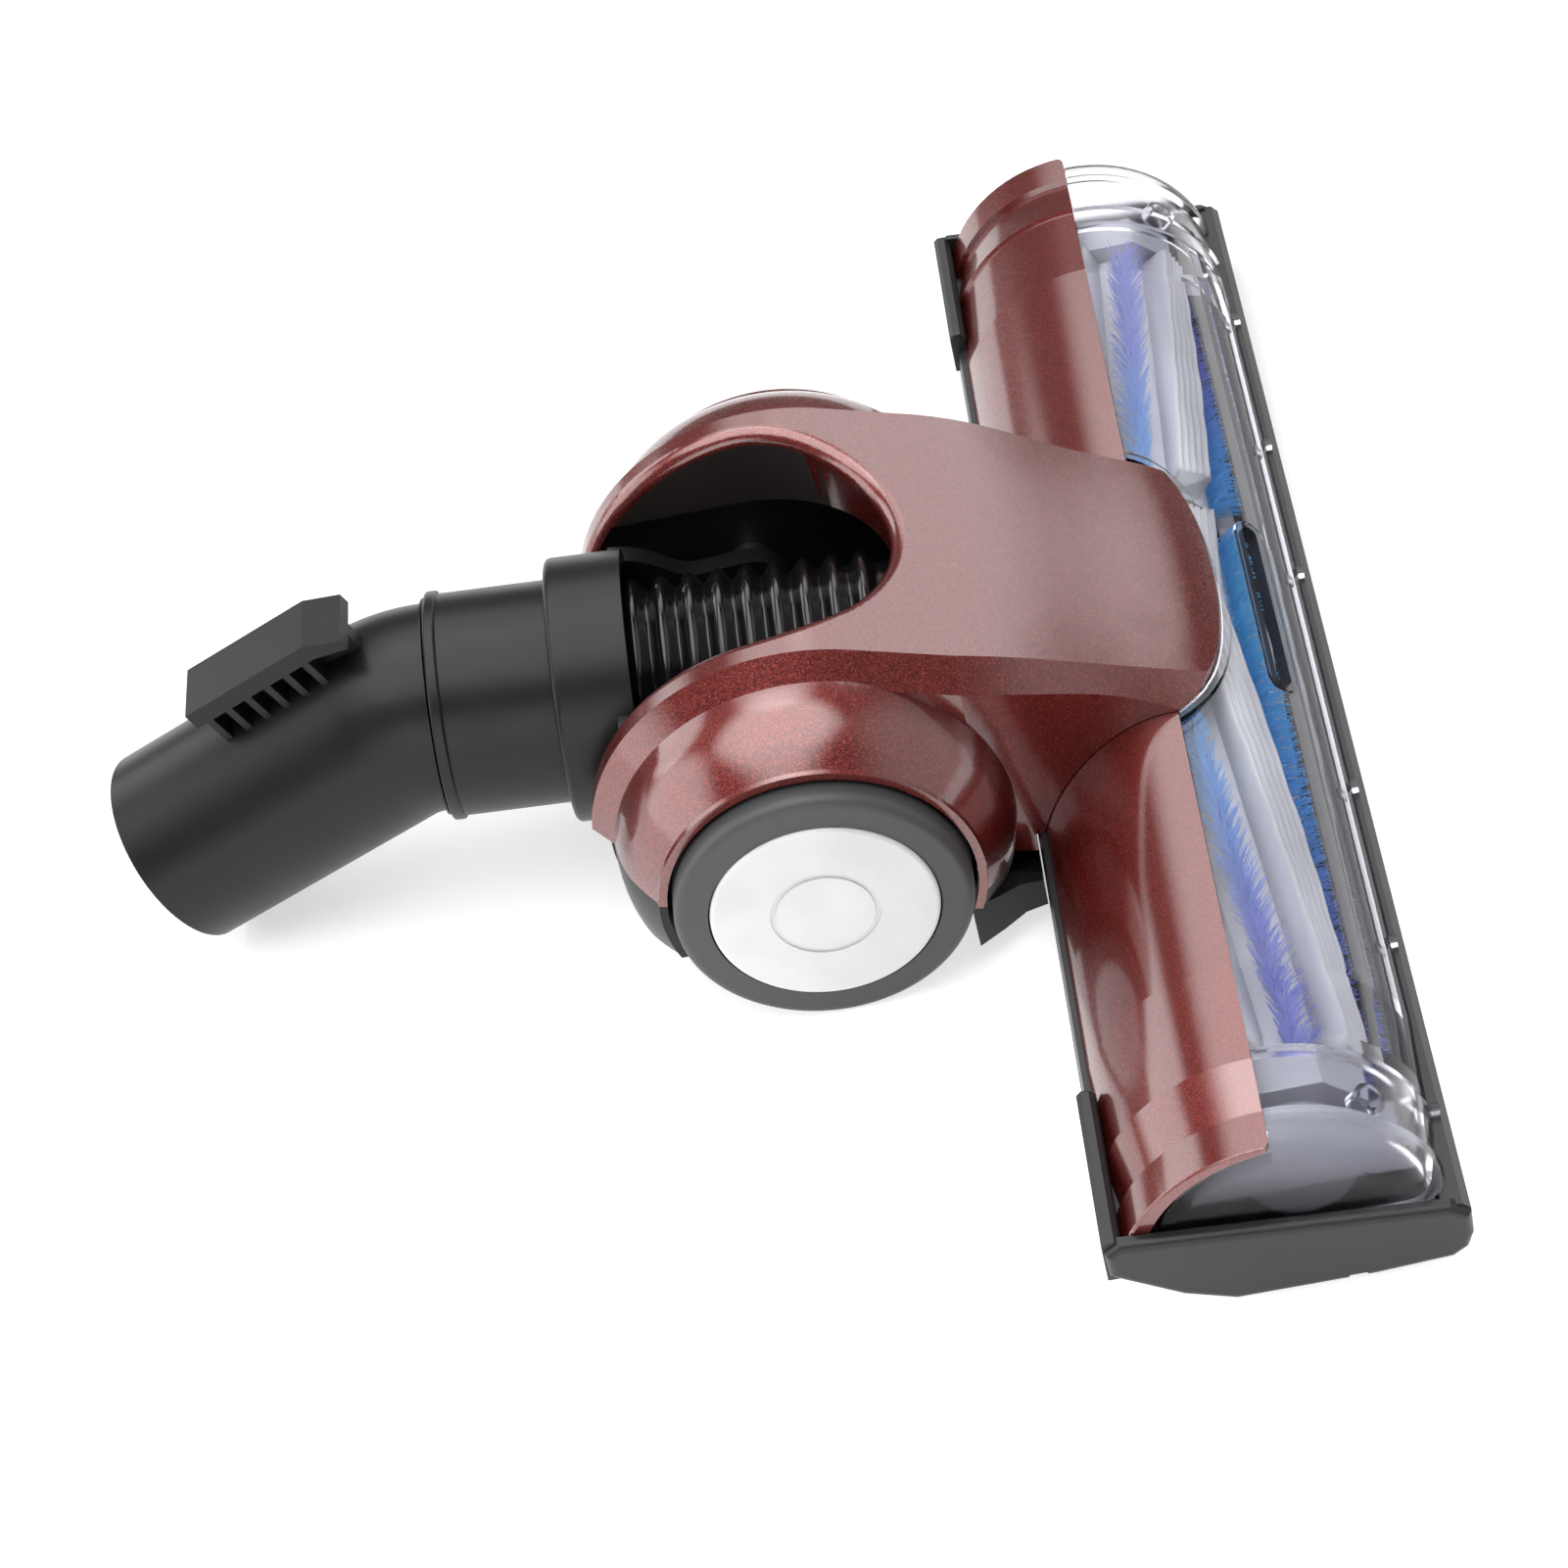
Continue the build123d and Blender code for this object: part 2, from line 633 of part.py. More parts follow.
def cover_form(inset):
    """Solid form of the body cover, drawn in by an inset for the hollow inside."""
    ring = deck_r - inset
    half = deck_half - inset
    bevel = deck_bevel - 0.4 * inset
    slope = math.atan(deck_slope)
    fall = bevel / math.cos(slope)
    crown = (axle_y - ring * math.sin(slope), axle_z + ring * math.cos(slope))
    join = (axle_y - deck_join, crown[1] - (crown[0] - axle_y + deck_join) * deck_slope)
    foot = tray_floor_z - inset
    heel = (axle_y + math.sqrt(ring ** 2 - (axle_z - foot) ** 2), foot)
    over = (axle_y + ring * math.sin(0.6), axle_z + ring * math.cos(0.6))
    wheel_axis = Axis((0, axle_y, axle_z), x_line)
    with BuildPart() as form:
        with BuildSketch(Plane.YZ):
            with BuildLine():
                ThreePointArc(heel, over, crown)
                Line(crown, join)
                Line(join, (join[0], foot))
                Line((join[0], foot), heel)
            make_face()
        extrude(amount=half, both=True)
        chamfer([e for e in form.edges() if is_top_edge(e, half)], bevel)
        loft([
            deck_section(deck_join, 0, 0, half, bevel, fall, half, inset),
            deck_section(deck_join + 7, 0.2, 0.2, half - 0.8, bevel - 0.2, fall - 0.2, half, inset),
            deck_section(deck_join + 15, 1.2, 0.5, half - 2.3, bevel - 0.6, fall - 0.6, half - 0.6, inset),
            deck_section(deck_join + 24, 2.8, 0.8, half - 4.2, bevel - 1.1, fall - 1.0, half - 0.8, inset),
            deck_section(nose_lead - 11, 4.4, 1.0, half - 3.9, bevel + 0.6, fall - 0.2, half - 0.6, inset),
            deck_section(nose_lead + 1, 8.2, 1.2, half - 7.6, bevel + 0.8, fall - 0.2, half - 1.0, inset),
        ])
        for side in (-1, 1):
            add(revolve(pod_section(side, inset, deck_half - 4, 0), axis=wheel_axis, mode=Mode.PRIVATE))
        for side in (-1, 1):
            with BuildSketch(Plane.XY.offset(foot)):
                with BuildLine():
                    near = (side * (deck_half - 4), axle_y - 66 + inset)
                    bow = (side * (deck_half + 3.2 - inset), axle_y - 45 + inset * 0.5)
                    far = (side * (arch_out - 1.5 - inset), axle_y - 28)
                    ThreePointArc(near, bow, far)
                    Line(far, (side * (deck_half - 4), axle_y - 12))
                    Line((side * (deck_half - 4), axle_y - 12), near)
                make_face()
            extrude(amount=50 - inset - foot, taper=11)
        add(nose_wall(-inset), mode=Mode.INTERSECT)
    return form.part


def is_top_edge(edge, half):
    """True for the two long edges between the deck and its sides, from the join round to the heel."""
    spot = edge.position_at(0.5)
    return abs(abs(spot.X) - half) < 0.01 and spot.Z > axle_z + 12


def is_lip_edge(edge):
    """True for the edges where the neck opening cuts the top of the deck."""
    spot = edge.position_at(0.5)
    across = math.hypot(spot.X, spot.Y - axle_y - mouth_back)
    on_round = spot.Y < axle_y + mouth_back and abs(across - mouth_half) < 0.05
    on_side = spot.Y >= axle_y + mouth_back and abs(abs(spot.X) - mouth_half) < 0.05
    level = abs(edge.position_at(0).Z - edge.position_at(1).Z) < 0.01 and spot.Z < axle_z
    upright = abs(edge.tangent_at(0.5).Z) > 0.98 and edge.geom_type == GeomType.LINE
    return (on_round or on_side) and not level and not upright


def mouth_prism(grow, low):
    """Upright block the size of the neck opening, open to the rear."""
    with BuildPart() as block:
        with BuildSketch(Plane.XY.offset(low)):
            with Locations((0, axle_y + mouth_back)):
                Circle(mouth_half + grow)
            with Locations((0, axle_y + mouth_back + 40)):
                Rectangle(2 * (mouth_half + grow), 80)
        extrude(amount=120)
    return block.part


with BuildPart() as cover:
    add(cover_form(0))
    add(mouth_prism(0, tray_floor_z - 8), mode=Mode.SUBTRACT)
    lip = [e for e in cover.edges() if is_lip_edge(e)]
    fillet(lip, lip_round)
    with BuildPart(mode=Mode.PRIVATE) as hollow:
        add(cover_form(wall))
        add(mouth_prism(wall, lip_floor_z), mode=Mode.SUBTRACT)
    add(hollow.part, mode=Mode.SUBTRACT)
    add(below_foot(0), mode=Mode.SUBTRACT)
    add(slab((-150, -300, -50), (150, axle_y - tray_front, hood_foot_z)), mode=Mode.SUBTRACT)
    with BuildSketch(dome_plane(-150)):
        Circle(dome_r + window_gap)
    extrude(amount=300, mode=Mode.SUBTRACT)
    for side in (-1, 1):
        with BuildSketch(axle_plane(side * 46)):
            Circle(arch_r)
        extrude(amount=side * 20, mode=Mode.SUBTRACT)
save(cover.part, "body_cover")

# Lower tray: floor under the neck, walls that carry the pivots and axles, and the wheel skirts
tray_ring = deck_r - wall - 1.0
skirt_low_z = 17.0
wedge_plan = [
    (tray_wall_out - 1, -24.6), (arch_out, -24.6), (arch_out - 3.2, -29.6), (arch_out - 6.2, -33.6),
    (arch_out - 7.2, -tray_front), (tray_wall_out - 1, -tray_front),
]
with BuildPart() as tray:
    for side in (-1, 1):
        with BuildSketch(axle_plane(side * tray_wall_in)):
            Circle(tray_ring)
        extrude(amount=side * (tray_wall_out - tray_wall_in))
        with BuildPart(mode=Mode.PRIVATE) as skirt:
            add(revolve(
                pod_section(side, 0, tray_wall_out - 1, arch_r),
                axis=Axis((0, axle_y, axle_z), x_line), mode=Mode.PRIVATE,
            ))
            add(slab((-200, -300, -50), (200, axle_y, 90)), mode=Mode.SUBTRACT)
            add(slab((-200, -300, -50), (200, 300, skirt_low_z)), mode=Mode.SUBTRACT)
            add(slab((-200, -300, foot_z + 24 * foot_slope), (200, axle_y + 24, 90)), mode=Mode.SUBTRACT)
        with BuildPart(mode=Mode.PRIVATE) as wedge:
            with BuildSketch(Plane.XY.offset(tray_floor_z)):
                Polygon(*[(side * x, axle_y + v) for x, v in wedge_plan], align=None)
            extrude(amount=20)
            with BuildSketch(axle_plane(side * (tray_wall_out + 1))):
                Circle(arch_r)
            extrude(amount=side * 40, mode=Mode.SUBTRACT)
            inner = slab(
                (side * (tray_wall_out + 1), axle_y - tray_front - 1, tray_floor_z + tray_floor),
                (side * (arch_out - 9.4), axle_y - 20, 90),
            )
            add(inner, mode=Mode.SUBTRACT)
        for piece in (skirt.part, wedge.part):
            with BuildPart(mode=Mode.PRIVATE) as trimmed:
                add(piece)
                with BuildPart(mode=Mode.PRIVATE) as room:
                    add(slab((-200, -300, -50), (200, 300, 120)))
                    add(below_foot(-seat), mode=Mode.SUBTRACT)
                add(room.part, mode=Mode.SUBTRACT)
            add(trimmed.part)
    add(slab(
        (-tray_wall_out, axle_y - tray_front, tray_floor_z),
        (tray_wall_out, axle_y + 33, tray_floor_z + tray_floor),
    ))
    add(slab((-200, -300, -50), (200, 300, tray_floor_z)), mode=Mode.SUBTRACT)
    add(slab((-200, -300, -50), (200, axle_y - tray_front, 90)), mode=Mode.SUBTRACT)
    add(slab((-hood_gap, -300, tray_floor_z + tray_floor), (hood_gap, axle_y - 31, 90)), mode=Mode.SUBTRACT)
    with BuildSketch(dome_plane(-150)):
        Circle(dome_r + clear)
    extrude(amount=300, mode=Mode.SUBTRACT)
    for side in (-1, 1):
        with BuildSketch(axle_plane(side * (tray_wall_in - 1))):
            Circle(wheel_axle_r)
            with Locations((pivot_y - axle_y, pivot_z - axle_z)):
                Circle(pivot_r)
        extrude(amount=side * 6, mode=Mode.SUBTRACT)
save(tray.part, "lower_tray")

# Pivot pins of the neck and stub axles of the wheels
arm_in = 20.6
arm_out = 24.6
with BuildPart() as pivot_pins:
    for side in (-1, 1):
        with BuildSketch(axle_plane(side * arm_in)):
            with Locations((pivot_y - axle_y, pivot_z - axle_z)):
                Circle(pivot_r)
        extrude(amount=side * (tray_wall_out - 0.3 - arm_in))
save(pivot_pins.part, "pivot_pins")

with BuildPart() as wheel_axles:
    for side in (-1, 1):
        with BuildSketch(axle_plane(side * (tray_wall_in - 0.6))):
            Circle(wheel_axle_r)
        extrude(amount=side * (wheel_outer - 3 - tray_wall_in + 0.6))
        with BuildSketch(axle_plane(side * tray_wall_out)):
            Circle(wheel_axle_r + 2.5)
        extrude(amount=side * (wheel_inner - 0.8 - tray_wall_out))
save(wheel_axles.part, "wheel_axles")

# Road wheels: hub, soft tyre and pale cap
tyre_round = 2.0
groove_at = wheel_outer - 6.4
groove_depth = 1.0
groove_width = 1.1
cap_r = tyre_bore - clear
for side, name in ((-1, "left"), (1, "right")):
    with BuildPart() as hub:
        with BuildSketch(axle_plane(side * (wheel_inner - 0.4))):
            Circle(tyre_bore)
            Circle(wheel_axle_r + running, mode=Mode.SUBTRACT)
        extrude(amount=side * (wheel_outer - wheel_inner - 1.6))
        with BuildSketch(axle_plane(side * (wheel_inner - 0.4))):
            Circle(tyre_bore - 2.4)
            Circle(wheel_axle_r + 4, mode=Mode.SUBTRACT)
        extrude(amount=side * 12, mode=Mode.SUBTRACT)
    save(hub.part, "hub_" + name)
    with BuildPart() as tyre:
        with BuildSketch(axle_plane(side * wheel_inner)):
            Circle(tyre_r)
        extrude(amount=side * (wheel_outer - wheel_inner))
        fillet(tyre.edges().filter_by(GeomType.CIRCLE), tyre_round)
        with BuildSketch(axle_plane(side * (wheel_inner - 1))):
            Circle(tyre_bore)
        extrude(amount=side * (wheel_outer - wheel_inner + 2), mode=Mode.SUBTRACT)
        with BuildSketch(axle_plane(side * groove_at)):
            Circle(tyre_r + 1)
            Circle(tyre_r - groove_depth, mode=Mode.SUBTRACT)
        extrude(amount=side * groove_width, mode=Mode.SUBTRACT)
    save(tyre.part, "tyre_" + name)
    with BuildPart() as cap_disc:
        with BuildSketch(axle_plane(side * (wheel_outer - 2))):
            Circle(cap_r)
        extrude(amount=side * 2.6)
        fillet(cap_disc.edges().filter_by(GeomType.CIRCLE).sort_by(Axis.X)[0 if side < 0 else -1], 0.8)
        with BuildSketch(axle_plane(side * (wheel_outer + 0.6))):
            Circle(cap_r * 0.48)
            Circle(cap_r * 0.43, mode=Mode.SUBTRACT)
        extrude(amount=-side * 0.35, mode=Mode.SUBTRACT)
    save(cap_disc.part, "cap_" + name)

# Neck yoke: collar and two arms to the pivots
tube_front = collar_front + 8.4
arm_r = 7.0
arm_top = 11.5
arm_low = 12.5
arm_reach = collar_front + 3 - mouth_back
with BuildPart() as yoke:
    add(neck_tube(collar_front, collar_rear, collar_r, collar_r - 2.6))
    fillet(yoke.edges().filter_by(GeomType.CIRCLE).group_by(Axis.Y)[-1], 1.2)
    add(neck_tube(tube_front, collar_rear - 1.4, collar_r - 1, tube_r))
    for side in (-1, 1):
        arm_plane = Plane(
            origin=(side * arm_in, pivot_y, pivot_z), x_dir=(0, math.cos(neck_rise), math.sin(neck_rise)),
            z_dir=(side, 0, 0),
        )
        up = side
        with BuildSketch(arm_plane):
            Circle(arm_r)
            with BuildLine():
                Spline(
                    (0, up * arm_r), (arm_reach * 0.45, up * (arm_r - 1.2)), (arm_reach, up * arm_top),
                    tangents=((1, 0), (1, 0)),
                )
                Polyline((arm_reach, up * arm_top), (arm_reach, -up * arm_low), (0, -up * arm_r), (0, up * arm_r))
            make_face()
        extrude(amount=arm_out - arm_in)
        with BuildSketch(Plane.YZ.offset(side * (arm_in - 1))):
            with Locations((pivot_y, pivot_z)):
                Circle(pivot_r + running)
        extrude(amount=side * 8, mode=Mode.SUBTRACT)
save(yoke.part, "neck_yoke")

# Neck tube: hose spigot at the front, swivel bore at the rear
with BuildPart() as neck:
    add(neck_tube(hose_rear - 10, tube_front + 1, hose_bore - 0.1, hose_bore - 2.1))
    add(neck_tube(tube_front, tube_front + 2.6, tube_r, hose_bore - 2.1))
    add(neck_tube(tube_front + 2, ring_front, tube_r, tube_bore))
save(neck.part, "neck_tube")

# Ring that holds the elbow in the neck
with BuildPart() as ring:
    add(neck_tube(ring_front, ring_front + ring_width, tube_r + 0.6, tube_bore - 0.7))
    fillet(ring.edges().filter_by(GeomType.CIRCLE).sort_by(SortBy.RADIUS)[-2:], 0.5)
save(ring.part, "swivel_ring")

# Elbow: spigot, bend, socket and parking hook
elbow_start = ring_front + ring_width + 0.4
bend_tangent = bend_at - elbow_start - 0.4
bend_r = bend_tangent / math.tan(math.radians(bend_angle) / 2)
bend_start = bend_at - bend_tangent
start_plane = neck_plane(bend_start)
down = (0, math.sin(neck_rise), -math.cos(neck_rise))
bend_centre = tuple(o + bend_r * d for o, d in zip(tuple(start_plane.origin), down))
elbow_dir = (0, math.cos(elbow_fall), -math.sin(elbow_fall))
elbow_up = (0, math.sin(elbow_fall), math.cos(elbow_fall))
vertex = tuple(neck_plane(bend_at).origin)
bend_axis = Axis(bend_centre, (-1, 0, 0))


def elbow_point(along, above):
    """Place on the YZ plane, along the elbow axis from the bend and above it."""
    return (
        vertex[1] + along * elbow_dir[1] + above * elbow_up[1],
        vertex[2] + along * elbow_dir[2] + above * elbow_up[2],
    )


def elbow_plane(along):
    y, z = elbow_point(along, 0)
    return Plane(origin=(0, y, z), x_dir=x_line, z_dir=elbow_dir)


hook_top = 28.0
hook_start = 1.7
hook_end = 28.5
hook_half = 6.3
rib_count = 6
with BuildPart() as elbow:
    with BuildSketch(neck_plane(elbow_start)):
        Circle(elbow_r + 0.9)
    extrude(amount=bend_start - elbow_start + 0.01, taper=0)
    with BuildSketch(start_plane):
        Circle(elbow_r)
    revolve(axis=bend_axis, revolution_arc=bend_angle)
    with BuildSketch(elbow_plane(bend_tangent)):
        Circle(elbow_r)
    extrude(amount=elbow_reach - bend_tangent)
    plate = [
        elbow_point(hook_end, hook_top), elbow_point(hook_start, hook_top), elbow_point(-4.6, hook_top - 3.0),
        elbow_point(-4.6, hook_top - 5.4), elbow_point(hook_start, hook_top - 3.6),
        elbow_point(hook_end, hook_top - 3.6),
    ]
    with BuildSketch(Plane.YZ):
        Polygon(*plate, align=None)
    extrude(amount=hook_half, both=True)
    web = [
        elbow_point(hook_end - 1, hook_top - 2), elbow_point(-4.0, hook_top - 4), elbow_point(-4.0, elbow_r - 3),
        elbow_point(hook_end - 1, elbow_r - 3),
    ]
    with BuildSketch(Plane.YZ):
        Polygon(*web, align=None)
    extrude(amount=1.5, both=True)
    for number in range(rib_count):
        at = hook_start + 2.4 + number * (hook_end - hook_start - 4.8) / (rib_count - 1)
        rib = [
            elbow_point(at - 0.7, hook_top - 2), elbow_point(at + 0.7, hook_top - 2),
            elbow_point(at + 0.7, elbow_r - 3), elbow_point(at - 0.7, elbow_r - 3),
        ]
        with BuildSketch(Plane.YZ):
            Polygon(*rib, align=None)
        extrude(amount=hook_half - 0.6, both=True)
    add(neck_tube(ring_front - 14, elbow_start + 1, tube_bore - running))
    add(
        neck_tube(ring_front - 0.2, ring_front + ring_width + 0.2, tube_bore, tube_bore - 0.75 - running),
        mode=Mode.SUBTRACT,
    )
    with BuildSketch(start_plane):
        Circle(socket_r - 1.6)
    revolve(axis=bend_axis, revolution_arc=bend_angle, mode=Mode.SUBTRACT)
    add(neck_tube(ring_front - 15, bend_start + 0.01, socket_r - 1.6), mode=Mode.SUBTRACT)
    with BuildSketch(elbow_plane(bend_tangent - 0.01)):
        Circle(socket_r - 1.6)
    extrude(amount=elbow_reach - bend_tangent + 1, mode=Mode.SUBTRACT)
    with BuildSketch(elbow_plane(elbow_reach - socket_depth)):
        Circle(socket_r)
    extrude(amount=socket_depth + 1, mode=Mode.SUBTRACT)
save(elbow.part, "elbow")

# Hose: corrugated, from the turbine spigot to the neck spigot
with BuildPart() as hose:
    add(neck_tube(hose_front, hose_rear, hose_valley, hose_bore))
    pitch = (hose_rear - hose_front - 8) / hose_ridges
    for number in range(hose_ridges):
        at = hose_front + 4 + (number + 0.5) * pitch
        add(neck_tube(at - pitch * 0.28, at + pitch * 0.28, hose_r, hose_bore))
save(hose.part, "hose")
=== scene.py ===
import math
import random

import bpy
import bmesh
from mathutils import Matrix, Vector
from mathutils.bvhtree import BVHTree


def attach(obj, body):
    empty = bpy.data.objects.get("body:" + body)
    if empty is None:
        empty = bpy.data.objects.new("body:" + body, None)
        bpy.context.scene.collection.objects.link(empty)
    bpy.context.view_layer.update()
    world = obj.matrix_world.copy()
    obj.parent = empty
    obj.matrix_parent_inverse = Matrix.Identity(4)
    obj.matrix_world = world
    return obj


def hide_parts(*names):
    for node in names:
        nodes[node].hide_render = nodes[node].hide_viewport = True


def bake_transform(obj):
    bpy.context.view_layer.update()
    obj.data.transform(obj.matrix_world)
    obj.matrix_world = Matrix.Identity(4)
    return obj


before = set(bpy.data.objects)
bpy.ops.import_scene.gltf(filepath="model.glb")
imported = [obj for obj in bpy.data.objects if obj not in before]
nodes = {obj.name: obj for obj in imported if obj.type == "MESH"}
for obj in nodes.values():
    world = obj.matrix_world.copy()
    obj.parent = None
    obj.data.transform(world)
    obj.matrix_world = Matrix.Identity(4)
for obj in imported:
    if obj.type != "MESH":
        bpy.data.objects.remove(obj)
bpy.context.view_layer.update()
random.seed(7)

# Places of the part, in metres and degrees, as in the part's source
axle_y = -0.015991
dome_r = 0.0284
dome_y = axle_y - 0.0666
dome_z = 0.0072
roll_y = axle_y - 0.071
roll_z = 0.0160
core_r = 0.0094
roll_r = 0.0154
roll_half = 0.1085
row_count = 4
row_twist = 420.0
strip_phase = 16.0
belt_gap = (0.025, 0.035)
neck_z = 0.0338
neck_rise = math.radians(4.87)
hose_front = -0.021
hose_rear = 0.034
hose_ridges = 9
hose_top_r = 0.0184
hose_bore_r = 0.0153


# Node helpers for the materials
def new_material(name):
    """Empty principled material, with its tree and its main shader."""
    material = bpy.data.materials.new(name)
    material.use_nodes = True
    tree = material.node_tree
    shader = tree.nodes["Principled BSDF"]
    return material, tree, shader


def set_input(material, name, value):
    """Set one plain value on a material's main shader."""
    material.node_tree.nodes["Principled BSDF"].inputs[name].default_value = value


def object_coords(tree):
    return tree.nodes.new("ShaderNodeTexCoord").outputs["Object"]


def noise(tree, scale, detail=3.0):
    texture = tree.nodes.new("ShaderNodeTexNoise")
    texture.inputs["Scale"].default_value = scale
    texture.inputs["Detail"].default_value = detail
    tree.links.new(object_coords(tree), texture.inputs["Vector"])
    return texture.outputs["Fac"]


def ramp(tree, value, stops):
    """Colour ramp from a value, with (place, colour) stops."""
    node = tree.nodes.new("ShaderNodeValToRGB")
    elements = node.color_ramp.elements
    while len(elements) < len(stops):
        elements.new(0.5)
    for element, (place, colour) in zip(elements, stops):
        element.position = place
        element.color = (*colour, 1.0)
    tree.links.new(value, node.inputs["Fac"])
    return node.outputs["Color"]


def remap(tree, value, low, high):
    """Value from 0..1 spread between two limits."""
    node = tree.nodes.new("ShaderNodeMapRange")
    node.inputs["To Min"].default_value = low
    node.inputs["To Max"].default_value = high
    tree.links.new(value, node.inputs["Value"])
    return node.outputs["Result"]


def bump(tree, height, strength, distance):
    node = tree.nodes.new("ShaderNodeBump")
    node.inputs["Strength"].default_value = strength
    node.inputs["Distance"].default_value = distance
    tree.links.new(height, node.inputs["Height"])
    return node.outputs["Normal"]


def vector_math(tree, operation):
    node = tree.nodes.new("ShaderNodeVectorMath")
    node.operation = operation
    return node


def moulded_plastic(name, colour, roughness, grain=2600.0, relief=0.12):
    """Moulded plastic with a fine grain and slightly uneven colour and gloss."""
    shade_scale = 45.0
    shade_least = 0.86
    gloss_scale = 120.0
    gloss_spread = 0.05
    grain_depth = 0.0002
    material, tree, shader = new_material(name)
    shade = noise(tree, shade_scale)
    darker = tuple(channel * shade_least for channel in colour)
    tree.links.new(ramp(tree, shade, [(0.35, darker), (0.65, colour)]), shader.inputs["Base Color"])
    gloss = remap(tree, noise(tree, gloss_scale), roughness - gloss_spread, roughness + gloss_spread)
    tree.links.new(gloss, shader.inputs["Roughness"])
    fine = noise(tree, grain, detail=2.0)
    tree.links.new(bump(tree, fine, relief, grain_depth), shader.inputs["Normal"])
    return material


def flake_paint(name):
    """Red-copper lacquer: fine tilted metal flakes under a smooth clear coat."""
    flakes_per_metre = 7000.0
    most_tilt = 0.15
    stops = [(0.0, (0.055, 0.0035, 0.002)), (0.7, (0.135, 0.008, 0.005)), (1.0, (0.29, 0.042, 0.033))]
    material, tree, shader = new_material(name)
    flakes = tree.nodes.new("ShaderNodeTexVoronoi")
    flakes.inputs["Scale"].default_value = flakes_per_metre
    tree.links.new(object_coords(tree), flakes.inputs["Vector"])
    tilt = vector_math(tree, "MULTIPLY_ADD")
    tilt.inputs[1].default_value = (2 * most_tilt,) * 3
    tilt.inputs[2].default_value = (-most_tilt,) * 3
    tree.links.new(flakes.outputs["Color"], tilt.inputs[0])
    geometry = tree.nodes.new("ShaderNodeNewGeometry")
    added = vector_math(tree, "ADD")
    tree.links.new(geometry.outputs["Normal"], added.inputs[0])
    tree.links.new(tilt.outputs["Vector"], added.inputs[1])
    unit = vector_math(tree, "NORMALIZE")
    tree.links.new(added.outputs["Vector"], unit.inputs[0])
    tree.links.new(unit.outputs["Vector"], shader.inputs["Normal"])
    tree.links.new(geometry.outputs["Normal"], shader.inputs["Coat Normal"])
    split = tree.nodes.new("ShaderNodeSeparateColor")
    tree.links.new(flakes.outputs["Color"], split.inputs["Color"])
    tree.links.new(ramp(tree, split.outputs["Red"], stops), shader.inputs["Base Color"])
    shader.inputs["Metallic"].default_value = 0.75
    shader.inputs["Roughness"].default_value = 0.40
    shader.inputs["Coat Weight"].default_value = 1.0
    shader.inputs["Coat Roughness"].default_value = 0.12
    shader.inputs["Coat IOR"].default_value = 1.78
    return material


def clear_plastic(name, colour, bend, haze):
    """Clear plastic with a faint violet tint and an uneven haze."""
    haze_scale = 60.0
    material, tree, shader = new_material(name)
    cloud = remap(tree, noise(tree, haze_scale), *haze)
    tree.links.new(cloud, shader.inputs["Roughness"])
    shader.inputs["Base Color"].default_value = (*colour, 1.0)
    shader.inputs["Transmission Weight"].default_value = 1.0
    shader.inputs["IOR"].default_value = bend
    return material


def bristle_nylon(name):
    """Nylon hairs, sky blue in the middle of the roll and violet blue at its ends."""
    gloss_scale = 900.0
    stops = [(0.0, (0.10, 0.55, 0.95)), (0.45, (0.12, 0.44, 0.92)), (0.75, (0.23, 0.28, 0.80))]
    material, tree, shader = new_material(name)
    split = tree.nodes.new("ShaderNodeSeparateXYZ")
    tree.links.new(object_coords(tree), split.inputs["Vector"])
    away = tree.nodes.new("ShaderNodeMath")
    away.operation = "ABSOLUTE"
    tree.links.new(split.outputs["X"], away.inputs[0])
    share = tree.nodes.new("ShaderNodeMath")
    share.operation = "DIVIDE"
    share.inputs[1].default_value = roll_half
    tree.links.new(away.outputs["Value"], share.inputs[0])
    tree.links.new(ramp(tree, share.outputs["Value"], stops), shader.inputs["Base Color"])
    gloss = remap(tree, noise(tree, gloss_scale), 0.35, 0.55)
    tree.links.new(gloss, shader.inputs["Roughness"])
    return material


# Materials
copper = flake_paint("copper_paint")
clear = clear_plastic("clear_plastic", (0.92, 0.92, 0.975), bend=1.32, haze=(0.01, 0.04))
# Clear plastic with a deeper tint and a weaker bend: the deeper tint is painted shade
clear_shaded = clear_plastic("clear_plastic_painted_shade", (0.84, 0.84, 0.91), bend=1.07, haze=(0.01, 0.04))
clear_end = clear_plastic("clear_plastic_end", (0.94, 0.94, 0.985), bend=1.22, haze=(0.12, 0.18))
# Dark plastic for the vent slot's walls: painted shade in place of the clear plastic there
vent_shade_dark = moulded_plastic("vent_painted_shade_plastic", (0.012, 0.012, 0.018), 0.4)
black = moulded_plastic("black_plastic", (0.008, 0.008, 0.0085), 0.34, relief=0.06)
set_input(black, "Specular IOR Level", 0.26)
base_black = moulded_plastic("base_plastic", (0.016, 0.016, 0.0175), 0.38)
set_input(base_black, "Specular IOR Level", 0.36)
tread_dark = moulded_plastic("tyre_tread", (0.010, 0.010, 0.011), 0.55, grain=1800.0, relief=0.2)
tyre_dark = moulded_plastic("tyre_rubber", (0.046, 0.046, 0.049), 0.5, grain=1800.0, relief=0.2)
hub_dark = moulded_plastic("hub_plastic", (0.02, 0.02, 0.022), 0.5)
grey = moulded_plastic("grey_plastic", (0.40, 0.405, 0.45), 0.4)
core_grey = moulded_plastic("core_plastic", (0.50, 0.51, 0.54), 0.4, grain=900.0, relief=0.03)
white = moulded_plastic("white_plastic", (0.66, 0.66, 0.67), 0.22, grain=900.0, relief=0.02)
strip_white = moulded_plastic("strip_rubber", (0.60, 0.61, 0.61), 0.42, grain=1400.0, relief=0.03)
steel = moulded_plastic("steel", (0.55, 0.55, 0.56), 0.3)
set_input(steel, "Metallic", 1.0)
belt_black = moulded_plastic("belt_rubber", (0.02, 0.02, 0.02), 0.65)
